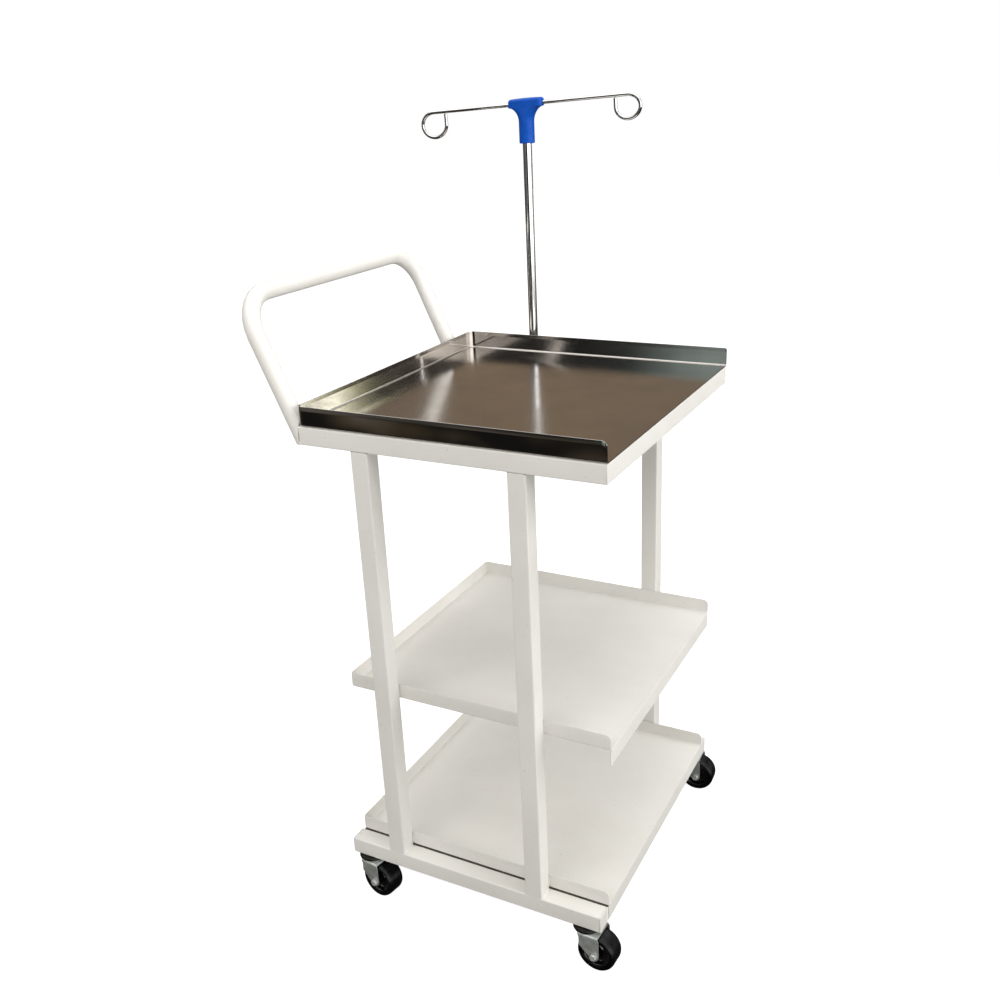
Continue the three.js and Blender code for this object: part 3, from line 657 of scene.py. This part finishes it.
def add_hub():
    """The moulded hub: a straight neck round the pole that flares into the bar round the rod."""
    pole = Vector(joints["pole_turn"]["pos_m"])
    sides = 72
    bm = bmesh.new()
    rows = []

    def ring(height, half_width, half_depth, square):
        """One level section: an ellipse that grows squarer, tilted like the rod above the flare."""
        power = 1.0 / (1.0 + 1.4 * square)
        row = []
        for j in range(sides):
            angle = 2 * math.pi * (j + 0.5) / sides
            cos, sin = math.cos(angle), math.sin(angle)
            x = half_width * math.copysign(abs(cos) ** power, cos)
            y = half_depth * math.copysign(abs(sin) ** power, sin)
            lean = max(0.0, min(1.0, (height - HUB_FLARE) / (HUB_SHOULDER - HUB_FLARE)))
            z = HUB_HEIGHT + height - x * math.sin(HUB_TILT) * lean
            row.append(bm.verts.new((pole.x + x, pole.y + y, z)))
        rows.append(row)

    chamfer = 0.8 * MM
    depth = 6.0 * MM  # of the hole that the pole goes into
    ring(HUB_BOTTOM + depth, HUB_MOUTH, HUB_MOUTH, 0.0)
    ring(HUB_BOTTOM + chamfer, HUB_MOUTH, HUB_MOUTH, 0.0)
    ring(HUB_BOTTOM, HUB_MOUTH + chamfer, HUB_MOUTH + chamfer, 0.0)
    for section in hub_sections():
        ring(*section)
    bridge(bm, rows)
    bm.faces.new(rows[0])
    bm.faces.new(reversed(rows[-1]))
    make_piece("hub_moulding", bm, BLUE_PLASTIC, "pole", ("pole_hub",))


# ---------------------------------------------------------------- welds
def bead(name, start, end, up, size=WELD):
    """A straight run of weld: overlapping scallops a few millimetres apart, under the paint."""
    pitch = 2.6 * MM
    parts = 4  # stations to a scallop
    steps = max(1, round((end - start).length / (pitch / parts)))
    path = [start.lerp(end, i / steps) for i in range(steps + 1)]

    def radius(i):
        wave = abs(math.sin(math.pi * i / parts))
        taper = min(1.0, 0.45 + 0.2 * min(i, steps - i))
        return size * (0.86 + 0.2 * wave) * taper

    make_piece(name, sweep(path, radius, 8, up), PAINT, "frame")


def column_welds():
    """Fillets on the two sides of each column, at the top frame and at the base rail."""
    margin = 3.0 * MM
    for name in CORNERS:
        low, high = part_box(f"column_{name}")
        for level, z in (("top", high.z), ("foot", low.z)):
            for side, x in (("a", low.x), ("b", high.x)):
                start = Vector((x, low.y + margin, z))
                end = Vector((x, high.y - margin, z))
                bead(f"weld_{name}_{level}_{side}", start, end, Vector((0, 0, 1)))


def shelf_welds():
    """Short tacks where each shelf's walls touch the columns."""
    bottom, top = 5.0 * MM, 19.0 * MM  # heights above the shelf's floor
    for shelf in ("middle_shelf", "lower_shelf"):
        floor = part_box(shelf)[0].z + SHELF_DROP
        for name in CORNERS:
            low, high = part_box(f"column_{name}")
            y = high.y if name.startswith("near") else low.y
            for side, x in (("a", low.x), ("b", high.x)):
                start = Vector((x, y, floor + bottom))
                end = Vector((x, y, floor + top))
                bead(f"weld_{shelf}_{name}_{side}", start, end, Vector((1, 0, 0)), TACK)


def flush_seams():
    """Ground-flush seams across the near and far faces where columns meet frame and rails."""
    margin = 2.5 * MM
    sunk = 0.55 * MM  # the bead's centre lies this deep, so only its crest shows
    for name in CORNERS:
        low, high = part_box(f"column_{name}")
        y = low.y + sunk if name.startswith("near") else high.y - sunk
        for level, z in (("top", high.z), ("foot", low.z)):
            start = Vector((low.x + margin, y, z))
            end = Vector((high.x - margin, y, z))
            bead(f"seam_{name}_{level}", start, end, Vector((0, 0, 1)), SEAM)


def add_welds():
    column_welds()
    shelf_welds()
    flush_seams()


# ---------------------------------------------------------------- ledges under the lower shelf
def add_ledges():
    """Flat bars along the inner side of each base rail, which close the joint under the lower shelf; their dark
    colour is painted shade for that joint.
    """
    shelf_low, shelf_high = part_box("lower_shelf")
    clearance = 0.3 * MM
    top = shelf_low.z + SHELF_DROP - clearance
    bottom = top - LEDGE_DEPTH
    chamfer = 0.4 * MM
    x0 = shelf_low.x + 1.0 * MM
    x1 = shelf_high.x - 1.5 * MM
    for side, inward in (("near", 1), ("far", -1)):
        rail_low, rail_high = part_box(f"base_rail_{side}")
        wall = rail_high.y if side == "near" else rail_low.y
        y0 = wall + 0.2 * MM * inward
        y1 = wall + LEDGE_WIDTH * inward
        section = [(y0, bottom), (y1, bottom), (y1, top - chamfer), (y1 - chamfer * inward, top), (y0, top)]
        bm = bmesh.new()
        rows = [[bm.verts.new((x, y, z)) for y, z in section] for x in (x0, x1)]
        bridge(bm, rows)
        bm.faces.new(rows[0])
        bm.faces.new(reversed(rows[1]))
        # dark as painted shade in the joint
        make_piece(f"shelf_ledge_{side}", bm, GAP_SHADE, "frame")


# ---------------------------------------------------------------- stage, light and camera
def emitter(name, location, target, size, power, colour):
    """A rectangular lamp aimed at a point; polished metal mirrors the room instead of it."""
    light = bpy.data.lights.new(name, "AREA")
    light.shape = "RECTANGLE"
    light.size, light.size_y = size
    light.energy = power
    light.color = colour
    obj = bpy.data.objects.new(name, light)
    obj.visible_glossy = False
    obj.location = location
    obj.rotation_euler = (Vector(target) - Vector(location)).to_track_quat("-Z", "Y").to_euler()
    bpy.context.scene.collection.objects.link(obj)


def add_lights():
    emitter("overhead", (0.3, 0.1, 3.2), (0, 0, 0.6), (3.0, 3.0), 42, (1.0, 0.998, 0.99))
    emitter("side", (3.2, -0.1, 1.8), (0, 0, 0.6), (2.4, 2.4), 72, (1.0, 0.992, 0.972))
    emitter("front", (-0.4, -2.6, 2.3), (0, 0, 0.7), (2.2, 1.8), 26, (1.0, 0.955, 0.895))


# What polished metal sees round the cart at eye level: (turn from +X in degrees, colour).
ROOM = (
    (-180, (0.08, 0.07, 0.065)),
    (-158, (0.03, 0.03, 0.03)),
    (-146, (0.14, 0.13, 0.12)),
    (-131, (0.16, 0.15, 0.14)),
    (-121, (0.06, 0.055, 0.05)),
    (-116, (0.02, 0.02, 0.019)),
    (-111, (0.02, 0.023, 0.022)),
    (-108.5, (0.30, 0.38, 0.38)),  # a pale blue-green panel
    (-105, (0.50, 0.62, 0.62)),
    (-100, (0.02, 0.02, 0.02)),
    (-72, (0.012, 0.012, 0.012)),
    (-64, (0.2, 0.2, 0.2)),
    (-57, (2.6, 2.6, 2.55)),  # a wide bright window
    (16, (2.4, 2.4, 2.4)),
    (28, (0.5, 0.5, 0.5)),
    (46, (0.14, 0.14, 0.14)),
    (51.4, (0.16, 0.16, 0.16)),
    (51.8, (4.6, 4.7, 4.4)),  # a narrow window with foliage beside it
    (52.6, (4.2, 4.4, 3.8)),
    (52.8, (1.2, 1.3, 0.6)),
    (53.5, (0.7, 0.75, 0.34)),
    (53.9, (0.06, 0.05, 0.045)),
    (75, (0.08, 0.068, 0.06)),
    (102, (0.22, 0.17, 0.125)),  # a brown wall
    (118, (0.25, 0.185, 0.125)),
    (132, (0.17, 0.135, 0.115)),
    (145, (0.12, 0.10, 0.09)),
    (180, (0.08, 0.07, 0.065)),
)
# The same below and above eye level: (clutter or height, grey or colour).
GROUND = ((0.0, (0.006,) * 3), (0.47, (0.010,) * 3), (0.55, (0.07, 0.055, 0.035)), (1.0, (0.2,) * 3))
LAMPS = ((0.0, (0.3,) * 3), (0.55, (0.5,) * 3), (0.7, (1.7,) * 3), (1.0, (1.8,) * 3))
GROUND_EDGE = (-0.20, -0.12)  # heights between which the ground gives way to the walls
LAMP_EDGE = (0.45, 0.62)
SOFT_STRENGTH = 0.56
FLOOR_GLOW = 0.92


def mirrored_room(graph):
    """The room as polished metal sees it: dark ground, walls by direction, lamps overhead."""
    direction = graph.node("ShaderNodeTexCoord").outputs["Generated"]
    height = graph.node("ShaderNodeSeparateXYZ", {"Vector": direction}).outputs["Z"]
    turn = graph.node("ShaderNodeTexGradient", {"Vector": direction}, gradient_type="RADIAL").outputs["Fac"]
    walls = graph.stops(turn, [(angle / 360 + 0.5, colour) for angle, colour in ROOM])
    noise = graph.node("ShaderNodeTexNoise", {"Vector": direction, "Scale": 11.0, "Detail": 2.0})
    ground = graph.stops(noise.outputs["Fac"], GROUND)
    lamps = graph.stops(height, LAMPS)
    above_ground = graph.ramp(height, *GROUND_EDGE)
    overhead = graph.ramp(height, *LAMP_EDGE)
    return graph.mix(overhead, graph.mix(above_ground, ground, walls), lamps)


def add_world():
    """White for the camera, soft white light for matt surfaces, and the room for polished ones."""
    world = bpy.data.worlds.new("studio")
    bpy.context.scene.world = world
    world.use_nodes = True
    graph = Graph(world.node_tree)
    graph.tree.nodes.clear()
    mirror_light = graph.node("ShaderNodeBackground", {"Color": mirrored_room(graph)})
    soft_light = graph.node("ShaderNodeBackground", {"Color": WHITE_WARM, "Strength": SOFT_STRENGTH})
    seen = graph.node("ShaderNodeBackground", {"Color": WHITE})
    ray = graph.node("ShaderNodeLightPath").outputs
    lit = graph.node(
        "ShaderNodeMixShader", {0: ray["Is Glossy Ray"], 1: soft_light.outputs[0], 2: mirror_light.outputs[0]}
    )
    shown = graph.node(
        "ShaderNodeMixShader", {0: ray["Is Camera Ray"], 1: lit.outputs[0], 2: seen.outputs[0]}
    )
    graph.node("ShaderNodeOutputWorld", {"Surface": shown.outputs[0]})


def add_floor():
    """A matt pale disc that glows towards the camera, so that it looks plain and white."""
    bm = bmesh.new()
    bmesh.ops.create_circle(bm, cap_ends=True, radius=14.0, segments=96)
    mesh = bpy.data.meshes.new("studio_floor")
    bm.to_mesh(mesh)
    bm.free()
    floor = bpy.data.objects.new("studio_floor", mesh)
    floor.location.z = -0.5 * MM
    floor.visible_glossy = False
    bpy.context.scene.collection.objects.link(floor)
    shader = Shader("floor")
    colour = shader.mix(shader.noise(4.0, 3.0), FLOOR_GREY, FLOOR_PALE)
    direct = shader.node("ShaderNodeLightPath").outputs["Is Camera Ray"]
    glow = shader.ramp(direct, 0.0, 1.0, 0.0, FLOOR_GLOW)
    shader.set(Base_Color=colour, Roughness=0.9, Specular_IOR_Level=0.1)
    mesh.materials.append(shader.set(Emission_Color=WHITE, Emission_Strength=glow))


def add_camera():
    """A camera with no shift, turned by its azimuth, its downward tilt and its roll."""
    camera = bpy.data.cameras.new("camera")
    camera.lens = CAMERA_LENS
    camera.sensor_width = 36.0
    camera.clip_end = 60.0
    obj = bpy.data.objects.new("camera", camera)
    azimuth, tilt, roll = (math.radians(a) for a in CAMERA_TURN)
    turn = (
        Matrix.Rotation(azimuth, 4, "Z")
        @ Matrix.Rotation(math.pi / 2 - tilt, 4, "X")
        @ Matrix.Rotation(roll, 4, "Z")
    )
    obj.rotation_euler = turn.to_euler()
    obj.location = CAMERA_PLACE
    bpy.context.scene.collection.objects.link(obj)
    bpy.context.scene.camera = obj


# ---------------------------------------------------------------- the scene
bpy.context.scene.view_settings.view_transform = "Standard"
finish_cad_nodes()
add_sheets()
add_casters()
add_hook_rod()
add_hub()
add_welds()
add_ledges()
add_world()
add_floor()
add_lights()
add_camera()
